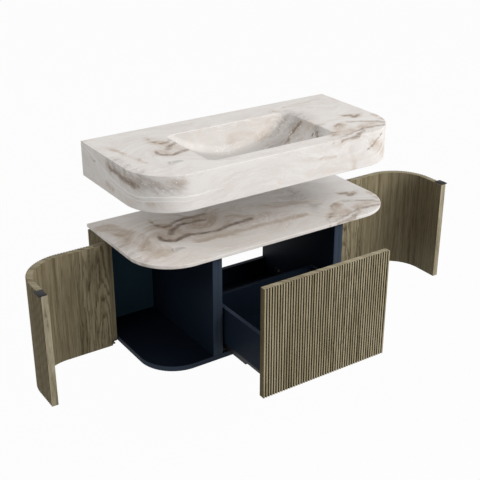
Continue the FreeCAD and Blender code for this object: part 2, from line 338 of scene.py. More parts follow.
stone = {
    "tones": [(0.28, (0.775, 0.75, 0.725, 1)), (0.43, (0.755, 0.722, 0.69, 1)),
              (0.50, (0.715, 0.675, 0.64, 1)), (0.57, (0.76, 0.73, 0.70, 1)),
              (0.66, (0.69, 0.64, 0.60, 1)), (0.76, (0.77, 0.745, 0.72, 1))],
    # the bowl tone is painted shade for the bowl's hollow
    "milk": (0.84, 0.83, 0.82, 1), "thread": (0.93, 0.92, 0.91, 1), "bowl": (0.52, 0.50, 0.475, 1),
    "smoke": (0.43, 0.335, 0.245, 1), "shade": (0.58, 0.535, 0.50, 1), "grey": (0.33, 0.30, 0.275, 1),
    "tan": (0.45, 0.345, 0.255, 1), "peach": (0.74, 0.625, 0.54, 1), "brown": (0.150, 0.102, 0.068, 1),
    # the stone lies in thin sheets that run along X and dip to the front
    "dip": 0.5, "stretch": (1.0, 2.4, 5.0), "bends": [(2.6, 2, 0.20), (8.0, 3, 0.050), (30.0, 2, 0.008)],
    # the bowl's plan, and how soon its painted shade begins under the top and inside the plan
    "bowlHalf": 0.30, "bowlFront": -0.445, "bowlLip": 0.004, "bowlFade": 0.03,
    # where the sheets turn round: place, reach, angle
    "swirls": [((-0.27, -0.20, 0.0), 0.20, 1.5), ((0.33, -0.39, 0.0), 0.16, -1.6)],
    "waver": [(6.0, 3, 0.030), (17.0, 3, 0.022), (60.0, 2, 0.008)],
    # white seams round the left corner: depth under the top, half width, and where they end along X
    "seams": [(-0.069, 0.0017, -0.20), (-0.082, 0.0010, -0.30)],
    # veins and clouds of each tone: half width and course in mm, down from the slab's top if not on it
    "brownVeins": [
        (5.5, [(-310, -100), (-309, -150), (-296, -174), (-272, -168), (-247, -152), (-199, -139),
               (-123, -148)]),
        (6.0, [(-305, -232), (-280, -203), (-246, -181), (-198, -179), (-145, -190)]),
        (6.5, [(-346, -228), (-347, -263), (-316, -287), (-251, -268), (-180, -291), (-99, -277),
               (-9, -265)]), (5.0, [(215, -452), (242, -437), (329, -421), (370, -408), (446, -419)]),
        (4.5, [(194, -456), (217, -422), (251, -394)]), (4.0, [(356, -319), (451, -372), (462, -396)]),
        (6.0, [(393, -257), (416, -262), (412, -294), (446, -274)]),
        (5.0, [(230, -462), (298, -457), (349, -427)]), (6.0, [(292, -337), (320, -329)]),
        (2.0, [(343, -460, -53), (361, -459, -48), (404, -448, -19), (446, -419)]),
        (4.0, [(240, -214, -6), (216, -218, -26), (183, -227, -46), (152, -241, -62)]),
        (5.5, [(234, -216, -11), (224, -219, -19)]), (4.5, [(212, -219, -28), (204, -221, -33)]),
        (4.0, [(170, -241, -53), (160, -246, -58)]), (4.0, [(222, -308, -21), (214, -316, -27)]),
        (4.5, [(233, -315, -12), (222, -330, -21)]), (3.5, [(218, -335, -24), (211, -342, -30)]),
        (7.0, [(-500, -204, -30), (-500, -305, -39), (-485, -372, -46)]),
        (3.0, [(-500, -67, -26), (-500, -102, -39)]),
    ],
    "tanVeins": [
        (46, [(-330, -250), (-200, -235), (-20, -240)]), (34, [(-305, -130), (-285, -215)]),
        (75, [(-165, -205), (216, -250)]), (13, [(-459, -108), (-420, -300)]),
        (30, [(280, -405), (420, -385)]), (22, [(230, -420), (320, -335)]),
        (16, [(400, -265), (440, -285)]), (14, [(489, -296), (482, -368)]),
        (30, [(378, -457, -42), (428, -436, -78)]), (16, [(264, -460, -42), (286, -460, -110)]),
        (10, [(142, -460, -46), (201, -460, -57)]), (12, [(274, -72), (444, -47)]),
        (14, [(-500, -181, -92), (-500, -222, -102)]), (14, [(-466, -402, -99), (-439, -428, -96)]),
        (34, [(-215, -270, -30), (-140, -330, -70)]), (34, [(20, -120, -60), (110, -130, -60)]),
        (30, [(228, -88, -17), (193, -93, -41), (132, -128, -71)]),
        (20, [(228, -208, -16), (160, -232, -58)]),
        (26, [(-500, -190, -22), (-474, -391, -33), (-389, -453, -27)]),
    ],
    "greyVeins": [
        (34, [(-500, -198, -20), (-474, -391, -36), (-400, -449, -36)]),
        # the three clouds on the bowl's right wall are partly its streaks and partly painted shade on that
        # wall
        (78, [(248, -197), (121, -226, -75)]), (40, [(249, -131), (153, -151, -62)]),
        (34, [(236, -298, -10), (218, -340, -24)]), (16, [(-355, -348), (-328, -350)]),
    ],
    "smokeVeins": [
        (17, [(-260, -330), (170, -345)]), (46, [(-440, -200), (-400, -330)]),
        (84, [(-310, -200), (-110, -215)]), (46, [(-320, -245), (-160, -275)]),
        (38, [(-465, -60), (-400, -200)]),
    ],
}


def pushed(place, waves):  # each wave is scale, detail and amount
    for scale, detail, amount in waves:
        drift = place.node("TexNoise", {}, {"Vector": place, "Scale": scale, "Detail": detail}, out="Color")
        drift = drift.vector("SUBTRACT", drift, (0.5, 0.5, 0.5))
        drift = drift.node("VectorMath", {"operation": "SCALE"}, {0: drift, "Scale": amount})
        place = moved(place, drift)
    return place


def fromVeins(place, tone):  # distance to the nearest vein of a tone, in half widths
    nearest = None
    for half, course in stone[tone + "Veins"]:
        points = [Vector((*point, 0)[:3]) * mm for point in course]
        for first, last in zip(points, points[1:]):
            along = last - first
            rate = along / along.length_squared
            share = place.vector("DOT_PRODUCT", place, rate, "Value")
            share = share.node("Math", {"operation": "SUBTRACT", "use_clamp": True},
                               {0: share, 1: first.dot(rate)})
            foot = share.node("VectorMath", {"operation": "SCALE"}, {0: along, "Scale": share})
            foot = moved(foot, first)
            away = foot.vector("DISTANCE", place, foot, "Value") / (half * mm)
            nearest = away.sum("MINIMUM", nearest, away) if nearest else away
    return nearest


def stoneSheets(place):  # turned in the swirls, bent, and dipping to the front
    bent = place
    for middle, reach, angle in stone["swirls"]:
        away = place.vector("DISTANCE", place, middle, "Value")
        turn = (1 - step(away, 0.0, reach)) * angle
        bent = bent.node("VectorRotate", {"rotation_type": "Z_AXIS"},
                         {"Vector": bent, "Center": middle, "Angle": turn})
    along, across, up = axes(pushed(bent, stone["bends"]))
    return along.node("CombineXYZ", {}, {0: along, 1: across, 2: up - across * stone["dip"]})


def marble(name, top, smoky):  # the same pattern in each slab, measured from its top face
    finish, place, shader = newFinish(name, 0.2)
    place = moved(place, (0, 0, -top))
    x, y, z = axes(place)
    inBowl = step(0 - z, 0.0, stone["bowlLip"])
    inBowl = inBowl * step(stone["bowlHalf"] - abs(x), 0.0, stone["bowlFade"])
    inBowl = inBowl * step(y - stone["bowlFront"], 0.0, stone["bowlFade"])
    sheets = stoneSheets(place)
    flow = scaled(sheets, stone["stretch"])
    field = grain(flow, 2.1, detail=8, rough=0.6)
    strokes = grain(scaled(sheets, (5, 14, 34)), 1.8, detail=5, rough=0.62)
    hairs = grain(scaled(sheets, (4, 30, 70)), 3.0, detail=4, rough=0.65)
    cloud = grain(place, 24, detail=6, rough=0.68)
    layers = grain(moved(flow, (5.2, 1.4, 3.3)), 1.3, detail=5, rough=0.55)
    layers = folded(layers * 12 + hairs * 0.9)

    colour = ramp(field, stone["tones"])

    def lay(share, tone):  # one of the stone's tones over the colour so far
        nonlocal colour
        colour = mix(share, colour, stone[tone])

    # the ground: broad tones, milky and shaded strokes, warm crystals; on the cover more milk and less shade,
    # painted light against the basin's shadow
    lay(step(strokes, 0.52 - smoky * 0.10, 0.76) * (0.40 + smoky * 0.25), "milk")
    lay(step(0.52 - strokes, 0.03, 0.24) * (0.30 - smoky * 0.12), "shade")
    lay(step(hairs, 0.56, 0.72) * 0.16, "shade")
    lay(step(cloud, 0.53, 0.70) * step(field, 0.40, 0.56) * 0.40, "peach")
    crystals = grain(scaled(sheets, (1, 1.6, 2.4)), 150, detail=4, rough=0.7)
    lay(step(crystals, 0.52, 0.72) * 0.46, "peach")
    lay(step(0.5 - crystals, 0.04, 0.20) * 0.30, "milk")
    traced = pushed(place, stone["waver"])
    rough = (strokes - 0.5) * 1.2 + (cloud - 0.5) * 1.0 + (field - 0.5) * 1.2

    # painted shade: the bowl is greyer towards the front, on the left and where the back wall runs into the
    # floor
    frontShade = step(-0.125 - y, 0.0, 0.05) * (1 - step(-0.29 - y, 0.0, 0.09) * 0.75)
    frontShade = frontShade * (1 - step(x, 0.08, 0.20) * 0.45)
    leftShade = step(-0.10 - x, 0.0, 0.10)
    foot = step(-0.05 - z, 0.0, 0.03) * (1 - frontShade * 0.6)
    bowlShade = 0.05 + frontShade * 0.62 + leftShade * 0.26 + foot * 0.34 + strokes * 0.4
    lay(inBowl * bowlShade, "bowl")

    # wide clouds: smoke on the cover alone, tan and grey on both slabs
    if smoky:
        smoke = 1 - step(fromVeins(traced, "smoke") + rough, 0.3, 1.4)
        beige = 0.05 + step(layers, 0.1, 0.9) * 0.12 + step(-0.29 - y, 0.0, 0.10) * 0.10
        # painted light: milk over the whole cover, more towards its right, lightens it where the basin's
        # shadow falls
        lay(0.16 + step(x, 0.05, 0.40) * 0.5, "milk")
        lay(beige, "tan")
        lay(smoke * (0.27 + step(layers, 0.1, 0.9) * 0.46), "smoke")
    hazes = {tone: 1 - step(fromVeins(traced, tone) + rough, 0.0, 1.2) for tone in ("tan", "grey")}
    lay(hazes["tan"] * (0.16 + step(layers, 0.15, 0.9) * 0.50), "tan")
    # on the bowl's right wall this grey is partly painted shade
    lay(hazes["grey"] * (0.26 + step(layers, 0.15, 0.9) * 0.36), "grey")
    lay(hazes["grey"] * step(hairs, 0.44, 0.64) * 0.30, "brown")

    # brown veins: a tan halo with fine strands round a dark core
    vein = fromVeins(traced, "brown")
    fade = step(field * 0.5 + cloud * 0.5, 0.38, 0.56)  # veins come and go along their course
    halo = 1 - step(vein + rough * 1.8, 0.0, 4.5)
    lay(halo * (0.12 + step(layers, 0.3, 1.0) * 0.36), "tan")
    strands = folded(vein * 0.8 + strokes * 3.0 + cloud * 1.2)
    lay(step(strands, 0.45, 1.0) * halo * (0.10 + fade * 0.34), "brown")
    core = 1 - step(abs(vein + rough * 0.6), 0.0, 1.7 + smoky * 0.7)
    strength = 0.24 + fade * 0.56
    if smoky:
        strength = strength + step(0.10 - x, 0.0, 0.15) * 0.46 - 0.22  # fainter on the cover's right
    lay(clamped(core * strength), "brown")

    # white threads, seams and flecks
    thread = (1 - step(abs(strokes - 0.5), 0.0, 0.022)) * step(layers, 0.45, 0.9) * 0.42
    lay(thread, "thread")
    drift = (grain(place, 9, detail=4) - 0.5) * 0.034 - y.sum("MAXIMUM", y + 0.25, 0) * 0.25
    for depth, half, end in stone["seams"]:
        seam = 1 - step(abs(z + drift - depth) / half + rough * 1.5, 0.4, 1.5)
        lay(seam * step(end - x, 0.0, 0.12) * (1 - inBowl) * 0.7, "thread")
    spots = {"Vector": scaled(place, (1, 1.5, 2.0)), "Scale": 62.0}
    fleck = 1 - step(place.node("TexVoronoi", {}, spots, out="Distance"), 0.10, 0.24)
    fleck = fleck * (hazes["grey"] + hazes["tan"] * 0.25) * step(cloud, 0.42, 0.56) * 0.9
    lay(clamped(fleck), "thread")
    feed(shader, "Base Color", colour)
    feed(shader, "Roughness", 0.5 + hairs * 0.12)
    return finish


oakLook = {
    "tones": [(0.10, (0.045, 0.034, 0.014, 1)), (0.36, (0.118, 0.093, 0.050, 1)),
              (0.60, (0.190, 0.156, 0.092, 1)), (0.90, (0.285, 0.245, 0.158, 1))],
    # the rib tones are lighter than the plain ones: painted light on the rib tops
    "litRibTones": [(0.16, (0.100, 0.077, 0.038, 1)), (0.46, (0.270, 0.228, 0.142, 1)),
                 (0.85, (0.46, 0.405, 0.280, 1))],
    # the groove tone is painted shade in the flutes' grooves
    "grooveShadeTone": (0.020, 0.0145, 0.006, 1), "poreTone": (0.030, 0.022, 0.009, 1),
    "rings": 74, "heart": 0.045, "lean": 0.16,
    "arch": 1.0, "ribArch": 0.35,  # how far the arched figure shows on smooth boards and on ribs
}


def drawnOut(sheet, length, scale, detail=4, rough=0.5, move=None):  # noise drawn out along the board
    sheet = scaled(sheet, (1, 1, length))
    if move:
        sheet = moved(sheet, move)
    return grain(sheet, scale, detail, rough)


def oakFigure(place, along, heartAt, arch):  # growth rings round a leaning heart, cut by the board's face
    up = axes(place)[2]
    sheet = along.node("CombineXYZ", {}, {0: along, 1: 0.37, 2: up})
    sway = drawnOut(sheet, 0.3, 6, detail=2) - 0.5
    lift = oakLook["heart"] + up * oakLook["lean"] + sway * 0.12
    aside = along - heartAt
    radius = (aside * aside + lift * lift) ** 0.5
    crown = (1 - step(abs(aside), 0.03, 0.12)) * arch  # the arched figure over the heart
    radius = radius + (drawnOut(sheet, 0.13, 22, detail=5, rough=0.66) - 0.5) * 0.062
    ring = radius.node("Math", {"operation": "FRACT"}, {0: radius * oakLook["rings"]})
    late = step(ring, 0.0, 0.5) - step(ring, 0.88, 1.0)
    fibre = drawnOut(sheet, 0.030, 420, rough=0.7)
    streak = drawnOut(sheet, 0.05, 74, detail=5, rough=0.66)
    broad = drawnOut(sheet, 0.16, 17, detail=3)
    band = step(drawnOut(sheet, 0.05, 34, rough=0.62, move=(3.1, 0, 0)), 0.52, 0.70)
    lines = step(drawnOut(sheet, 0.032, 150, rough=0.68, move=(0, 0, 1.7)), 0.50, 0.66)
    pores = step(drawnOut(sheet, 0.03, 520, detail=2), 0.56, 0.68) * (1 - late * 0.5)
    shade = late * (0.09 + crown * 0.36) + fibre * 0.50 + streak * 0.58 + broad * 0.40 - 0.13
    shade = shade - band * 0.24 - crown * 0.24 - lines * (0.18 + crown * 0.12)
    return shade, pores, fibre


def boardRun(place):  # along a straight board, whichever way it stands
    x, y, z = axes(place)
    return x + y


def edgeRun(place):  # a lipping's grain runs along it
    return boardRun(place) * 0.35


def stripRun(place):  # along a bent board, from before it was bent
    return attribute(place, "alongBoard")


def oak(name, run, heartAt, tone):
    finish, place, shader = newFinish(name, 0.2)
    shade, pores, fibre = oakFigure(place, run(place), heartAt, oakLook["arch"])
    colour = mix(pores * 0.6, ramp(shade, oakLook["tones"]), oakLook["poreTone"])
    feed(shader, "Base Color", tinted(colour, tone))
    feed(shader, "Roughness", 0.58 + fibre * 0.2)
    feed(shader, "Normal", bump(fibre * 0.5 - pores, 0.3, 0.0004))
    return finish


def flutedOak(name, heartAt, tone):  # painted shade darkens the grooves, and lighter tones on the ribs are painted light
    finish, place, shader = newFinish(name, 0.2)
    shade, pores, fibre = oakFigure(place, stripRun(place), heartAt, oakLook["ribArch"])
    # painted shade in the grooves, darker the deeper they go
    grooveShade = step(attribute(place, "grooveDepth"), 0.0, 0.22) * 0.94
    # lighter rib tones: painted light on the rib tops
    colour = mix(pores * 0.15, ramp(shade, oakLook["litRibTones"]), oakLook["poreTone"])
    feed(shader, "Base Color", mix(grooveShade, tinted(colour, tone), oakLook["grooveShadeTone"]))
    feed(shader, "Roughness", 0.58 + fibre * 0.2)
    feed(shader, "Normal", bump(fibre, 0.08, 0.0003))
    return finish


def navyBoard(name, dark, light):
    finish, place, shader = newFinish(name, 0.06)
    speck = grain(place, 900, detail=3, rough=0.6)
    cloud = grain(place, 7, detail=3)
    feed(shader, "Base Color", mix(speck * 0.5 + cloud * 0.5, dark, light))
    feed(shader, "Roughness", 0.5 + speck * 0.15)
    feed(shader, "Normal", bump(speck, 0.12, 0.0002))
    return finish


def darker(colour, by):
    return tuple(part * by for part in colour[:3]) + (1,)


def metal(name, colour, roughness, shine, brushed):
    finish, place, shader = newFinish(name, 0.2)
    streak = grain(scaled(place, (1, brushed, 1)), 700, detail=3)
    feed(shader, "Base Color", mix(streak, darker(colour, 0.82), colour))
    feed(shader, "Roughness", roughness + streak * 0.12)
    shader.inputs["Metallic"].default_value = shine
    return finish


def plain(name, colour, roughness):  # rubber and plastic, with a fine moulded skin
    finish, place, shader = newFinish(name)
    skin = grain(place, 1500, detail=2)
    feed(shader, "Base Color", mix(skin, darker(colour, 0.8), colour))
    feed(shader, "Roughness", roughness + skin * 0.1)
    feed(shader, "Normal", bump(skin, 0.1, 0.0001))
    return finish


finishes = {
    "basin": marble("basinMarble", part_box("basin_deck")[1][2], 0),
    "cover": marble("coverMarble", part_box("cover_plate")[1][2], 1),
    "doorOak": oak("doorOak", stripRun, 0.475, (1, 1, 1, 1)),
    "boardOak": oak("boardOak", boardRun, 0.05, (1, 1, 1, 1)),
    # a lighter oak on top and bottom edges and door ends: partly a lighter lipping, partly painted light on
    # faces that catch the light
    "edgeOakLit": oak("edgeOakLit", edgeRun, 0.9, (1.34, 1.38, 1.52, 1)),
    # a darker oak for the drawer front's ends: painted shade
    "endOakShade": oak("endOakShade", boardRun, 0.3, (0.50, 0.47, 0.38, 1)),
    # the door and side flutes are a darker copy of the drawer's: painted shade
    "doorFlutes": flutedOak("doorFlutes", 0.40, (0.68, 0.65, 0.585, 1)),
    "drawerFlutes": flutedOak("drawerFlutes", 0.17, (0.93, 0.91, 0.87, 1)),
    "navy": navyBoard("navyBoard", (0.0040, 0.0072, 0.0140, 1), (0.0075, 0.0130, 0.0235, 1)),
    # a darker navy for the cabinet floor: painted shade
    "navyFloorShade": navyBoard("navyFloorShade", (0.0022, 0.0036, 0.0072, 1), (0.0042, 0.0068, 0.0125, 1)),
    # a lighter navy for the back panels: painted light
    "navyBackLit": navyBoard("navyBackLit", (0.0200, 0.0460, 0.0680, 1), (0.0330, 0.0700, 0.1000, 1)),
    # a paler navy on front and top edges: painted light
    "navyEdgeLit": navyBoard("navyEdgeLit", (0.0250, 0.0350, 0.0530, 1), (0.0390, 0.0530, 0.0770, 1)),
    "black": metal("blackCoat", (0.010, 0.010, 0.012, 1), 0.5, 0.0, 1.0),
    "brown": metal("brownCoat", (0.150, 0.122, 0.078, 1), 0.55, 0.0, 1.0),
    "zinc": metal("runnerSteel", (0.042, 0.042, 0.046, 1), 0.42, 1.0, 0.05),
    "bright": metal("brightZinc", (0.80, 0.80, 0.80, 1), 0.45, 0.1, 1.0),
    "chrome": metal("polishedChrome", (0.80, 0.81, 0.83, 1), 0.06, 1.0, 1.0),
    "rubber": plain("sealRubber", (0.022, 0.022, 0.022, 1), 0.6),
    "plastic": plain("bearingPlastic", (0.72, 0.71, 0.66, 1), 0.4),
}
print("finishes ready:", len(finishes))


def refinishFaces(piece, test, finishName="edgeOakLit"):  # the faces that the test picks get another finish
    piece.data.materials.append(finishes[finishName])
    edit(piece)
    pickFaces(piece, test)
    piece.active_material_index = len(piece.data.materials) - 1
    bpy.ops.object.material_slot_assign()
    done()


# basin and cover plate

slabShape = {
    "corner": 156 * mm, "cornerSteps": 40, "arris": 1.6 * mm, "arrisSteps": 3,
    "floorCorner": 130.5 * mm, "floorArris": 0.8 * mm,
}


def roundedSlab(name, low, high, corner, arris):
    slab = startBlock(name, low, high)
    edit(slab)
    front, back = low[1], high[1]
    bevelEdges(slab, lambda a, b: near(front, a.y, b.y) and abs(a.z - b.z) > past,
               corner, slabShape["cornerSteps"])
    if arris:
        bevelEdges(slab, lambda a, b: near(a.z, b.z) and not near(back, a.y, b.y),
                   arris, slabShape["arrisSteps"])
    done()
    return slab


def finishSlab(slab, finishName, slotName, *nodes):
    smooth(slab)
    modify(slab, "WEIGHTED_NORMAL", keep_sharp=True)
    fit(slab, finishName, "cabinet", slotName, *nodes)


bowl = {
    "width": 496 * mm, "length": 290 * mm, "depth": 95 * mm, "frontLand": 60 * mm,
    "round": 25 * mm, "roundSteps": 10, "lip": 2.2 * mm, "lipSteps": 3, "wall": 12 * mm, "backWall": 20 * mm,
    "seat": 33 * mm, "seatDepth": 4 * mm, "hole": 23.5 * mm, "boss": 36 * mm, "bossDrop": 5 * mm,
    "boltSpacing": 280 * mm, "boltDrop": 60 * mm, "boltHole": 6 * mm,
    "drill": 100 * mm, "drillPast": 10 * mm,  # length of the cutters for seat and hole
}


def drumAlong(name, radius, length, middle, corners=120):  # lies along Y
    return startDrum(name, radius, length, middle, (math.pi / 2, 0, 0), corners)


def basinSlab():
    low = Vector(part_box("basin_apron")[0])
    high = Vector(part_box("basin_deck")[1])
    wall, length, depth = bowl["wall"], bowl["length"], bowl["depth"]
    top = high.z
    floor = top - depth
    arc = ((bowl["width"] / 2) ** 2 + depth ** 2) / (2 * depth)
    yMiddle = low.y + bowl["frontLand"] + length / 2
    ends = [yMiddle - length / 2, yMiddle + length / 2]
    axis = (0, yMiddle, floor + arc)
    slab = roundedSlab("basinSlab", low, high, slabShape["corner"], slabShape["arris"])
    hollow = roundedSlab("hollow", (low.x + wall, low.y + wall, low.z - wall),
                         (high.x - wall, high.y - bowl["backWall"], top - wall),
                         slabShape["corner"] - wall, 0)
    cut(slab, hollow)
    shell = drumAlong("shell", arc + wall, length + 2 * wall, axis)
    edit(shell)
    bpy.ops.mesh.bisect(plane_co=(0, 0, top - wall / 2), plane_no=(0, 0, 1), clear_outer=True, use_fill=True)
    done()
    combine(slab, shell, "UNION")
    bossBottom = floor - wall - bowl["bossDrop"]
    boss = startDrum("boss", bowl["boss"], floor - bossBottom, (0, yMiddle, (floor + bossBottom) / 2))
    combine(slab, boss, "UNION")
    scoop = drumAlong("scoop", arc, length, axis)
    edit(scoop)
    bevelEdges(scoop, lambda a, b: any(near(y, a.y, b.y) for y in ends),
               bowl["round"], bowl["roundSteps"])
    done()
    cut(slab, scoop)
    drill = bowl["drill"]
    seatMiddle = floor - bowl["seatDepth"] + drill / 2
    cut(slab, startDrum("seat", bowl["seat"], drill, (0, yMiddle, seatMiddle)))
    holeMiddle = floor + bowl["drillPast"] - drill / 2
    cut(slab, startDrum("hole", bowl["hole"], drill, (0, yMiddle, holeMiddle)))
    for side in (-1, 1):  # wall bolts pass through the back
        middle = (side * bowl["boltSpacing"] / 2, 0, top - bowl["boltDrop"])
        bolt = drumAlong("bolt", bowl["boltHole"], 3 * bowl["backWall"], middle, 32)
        cut(slab, bolt)
    edit(slab)
    bpy.ops.mesh.remove_doubles(threshold=5 * mergeGap)
    halfLip = bowl["width"] / 2 + past

    def onLip(point):
        return near(point.z, top) and abs(point.x) < halfLip and ends[0] - past < point.y < ends[1] + past

    bevelEdges(slab, lambda a, b: onLip(a) and onLip(b), bowl["lip"], bowl["lipSteps"])
    faceOutwards()
    done()
    finishSlab(slab, "basin", "marble_solid_surface",
               "basin_deck", "basin_bowl", "basin_apron", "basin_back_wall")


basinSlab()
coverSlab = roundedSlab("coverSlab", *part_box("cover_plate"), slabShape["corner"], slabShape["arris"])
finishSlab(coverSlab, "cover", "marble_solid_surface", "cover_plate")
cabinetFloor = roundedSlab("cabinetFloor", *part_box("bottom_panel"),
                           slabShape["floorCorner"], slabShape["floorArris"])
# the floor board wears a darker navy: painted shade
finishSlab(cabinetFloor, "navyFloorShade", "navy_board", "bottom_panel")
# painted light on the cabinet floor's edges
refinishFaces(cabinetFloor, lambda c, n: abs(n.z) < 0.9, "navyEdgeLit")
print("basin, cover plate and cabinet floor modelled")


# fluted facings: one groove is modelled and repeated, then the strip is laid flat or bent round the door

flute = {
    "pitch": 10 * mm, "width": 4.4 * mm, "depth": 3.5 * mm, "thickness": 8 * mm, "leastEndRib": 4 * mm,
    "mouth": 0.8 * mm, "mouthSteps": 3, "floor": 1.9 * mm, "floorSteps": 4,
}


def keepRun(strip):  # the grain follows the strip round the bend
    run = strip.data.attributes.new("alongBoard", "FLOAT", "POINT")
    for point in strip.data.vertices:
        run.data[point.index].value = point.co.x


def flutedStrip(name, length, low, high):  # along X from 0, its face at Y = 0
    pitch, depth = flute["pitch"], flute["depth"]
    count = int((length - flute["width"] - 2 * flute["leastEndRib"]) / pitch) + 1
    first = (length - (count - 1) * pitch) / 2
    cuts = ((pitch - flute["width"]) / 2, (pitch + flute["width"]) / 2)
    strip = startBlock(name, (0, -flute["thickness"], low), (pitch, -depth, high))
    edit(strip)
    for x in cuts:
        pickAll()
        bpy.ops.mesh.bisect(plane_co=(x, 0, 0), plane_no=(1, 0, 0))
    pickFaces(strip, lambda c, n: n.y > 0.9 and not cuts[0] < c.x < cuts[1])
    extrude((0, depth, 0))
    pickFaces(strip, lambda c, n: near(c.x, 0) or near(c.x, pitch))
    bpy.ops.mesh.delete(type="ONLY_FACE")

    def upright(a, b, y):
        return near(y, a.y, b.y) and any(near(x, a.x, b.x) for x in cuts)

    bevelEdges(strip, lambda a, b: upright(a, b, -depth), flute["floor"], flute["floorSteps"])
    bevelEdges(strip, lambda a, b: upright(a, b, 0), flute["mouth"], flute["mouthSteps"])
    done()
    modify(strip, "ARRAY", count=count, use_relative_offset=False, use_constant_offset=True,
           constant_offset_displace=(pitch, 0, 0), use_merge_vertices=True, merge_threshold=mergeGap)
    edit(strip)
    shift = first - pitch / 2
    slide((shift, 0, 0))
    pickPoints(strip, lambda p: near(p.x, shift))
    slide((-shift, 0, 0))
    pickPoints(strip, lambda p: near(p.x, length - shift))
    slide((shift, 0, 0))
    pickAll()
    bpy.ops.mesh.fill_holes(sides=0)
    faceOutwards()
    done()
    # how deep each point lies in a groove, for the painted shade there
    grooveShade = strip.data.attributes.new("grooveDepth", "FLOAT", "POINT")
    for point in strip.data.vertices:
        fromGroove = abs((point.co.x - first + pitch / 2) % pitch - pitch / 2)
        inGroove = fromGroove < flute["width"] / 2 + flute["mouth"] and point.co.y > -depth - past
        grooveShade.data[point.index].value = -point.co.y / depth if inGroove else 0.0
    keepRun(strip)
    return strip


def doorPath(low, high, radius):  # plan of the open left door's face, from its free end to its hinge
    dropSelection()
    bpy.ops.curve.primitive_bezier_curve_add()
    path = bpy.context.object
    path.data.dimensions = "2D"
    path.data.resolution_u = 64
    points = path.data.splines[0].bezier_points
    points.add(2)
    pull = radius * 4 / 3 * (math.sqrt(2) - 1)
    bendStart = Vector((low[0], high[1] - radius, 0))
    bendEnd = Vector((low[0] + radius, high[1], 0))
    freeEnd = Vector((low[0], low[1], 0))
    hingeEnd = Vector((high[0], high[1], 0))
    along = Vector((1, 0, 0))
    out = Vector((0, 1, 0))
    rows = [  # place, handle before, handle after
        (freeEnd, freeEnd - out * mm, freeEnd.lerp(bendStart, 1 / 3)),
        (bendStart, bendStart.lerp(freeEnd, 1 / 3), bendStart + out * pull),
        (bendEnd, bendEnd - along * pull, bendEnd.lerp(hingeEnd, 1 / 3)),
        (hingeEnd, hingeEnd.lerp(bendEnd, 1 / 3), hingeEnd + along * mm),
    ]
    for point, (place, before, after) in zip(points, rows):
        point.handle_left_type = point.handle_right_type = "FREE"
        point.co, point.handle_left, point.handle_right = place, before, after
    return path


def bent(piece, low, high, radius):
    path = doorPath(low, high, radius)
    modify(piece, "CURVE", object=path, deform_axis="POS_X")
    bpy.data.objects.remove(path)


def layFlat(piece, turn, move):  # turns a strip about Z and puts it in place
    edit(piece)
    slide(move)
    done()
    piece.rotation_euler = (0, 0, turn)
    only(piece)
    settled(piece)


door = {"radius": 154 * mm, "core": 14 * mm, "arris": 0.7 * mm, "bendSteps": 95}
hingeLeaf = {"blade": 11 * mm, "recess": 9 * mm}  # width of the leaves, and of their recess in the flutes
creaseAngle = 30  # for flutes, bent boards and screws

doorLow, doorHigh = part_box("left_door_facing")
freeEnd = doorLow[1]
doorLength = (doorHigh[0] - doorLow[0] + doorHigh[1] - doorLow[1] - 2 * door["radius"]
              + door["radius"] * math.pi / 2)
doorFlutes = flutedStrip("leftDoorFlutes", doorLength, doorLow[2], doorHigh[2])
bent(doorFlutes, doorLow, doorHigh, door["radius"])
smooth(doorFlutes, creaseAngle)
for flutes in fitPair(doorFlutes, "doorFlutes", "left_door", "fluted_oak", "left_door_facing"):
    refinishFaces(flutes, lambda c, n: abs(n.z) > 0.9 or (near(c.y, freeEnd) and n.y < -0.9))

drawerLow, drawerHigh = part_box("drawer_front_facing")
drawerFlutes = flutedStrip("drawerFlutes", drawerHigh[0] - drawerLow[0], drawerLow[2], drawerHigh[2])
layFlat(drawerFlutes, math.pi, (drawerLow[0], -drawerLow[1], 0))
smooth(drawerFlutes, creaseAngle)
fit(drawerFlutes, "drawerFlutes", "drawer", "fluted_oak", "drawer_front_facing")
refinishFaces(drawerFlutes, lambda c, n: abs(n.z) > 0.9)
# painted shade on the drawer front's ends
refinishFaces(drawerFlutes, lambda c, n: abs(n.x) > 0.9 and abs(c.x) > drawerHigh[0] - past, "endOakShade")

sideLow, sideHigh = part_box("left_side_facing")
sideFlutes = flutedStrip("leftSideFlutes", sideHigh[1] - sideLow[1], sideLow[2], sideHigh[2])
layFlat(sideFlutes, math.pi / 2, (sideLow[1], -sideLow[0], 0))
for node in ("left_upper_hinge_plate", "left_lower_hinge_plate"):  # the plates are let into the ends
    low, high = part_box(node)
    recess = startBlock("recess", low, (high[0], low[1] + hingeLeaf["recess"], high[2]))
    cut(sideFlutes, recess)
smooth(sideFlutes, creaseAngle)
for flutes in fitPair(sideFlutes, "doorFlutes", "cabinet", "fluted_oak", "left_side_facing"):
    refinishFaces(flutes, lambda c, n: abs(n.z) > 0.9)
print("fluted facings modelled")


# veneered cores behind the facings, with a lighter oak on their edges: partly lippings, partly painted light

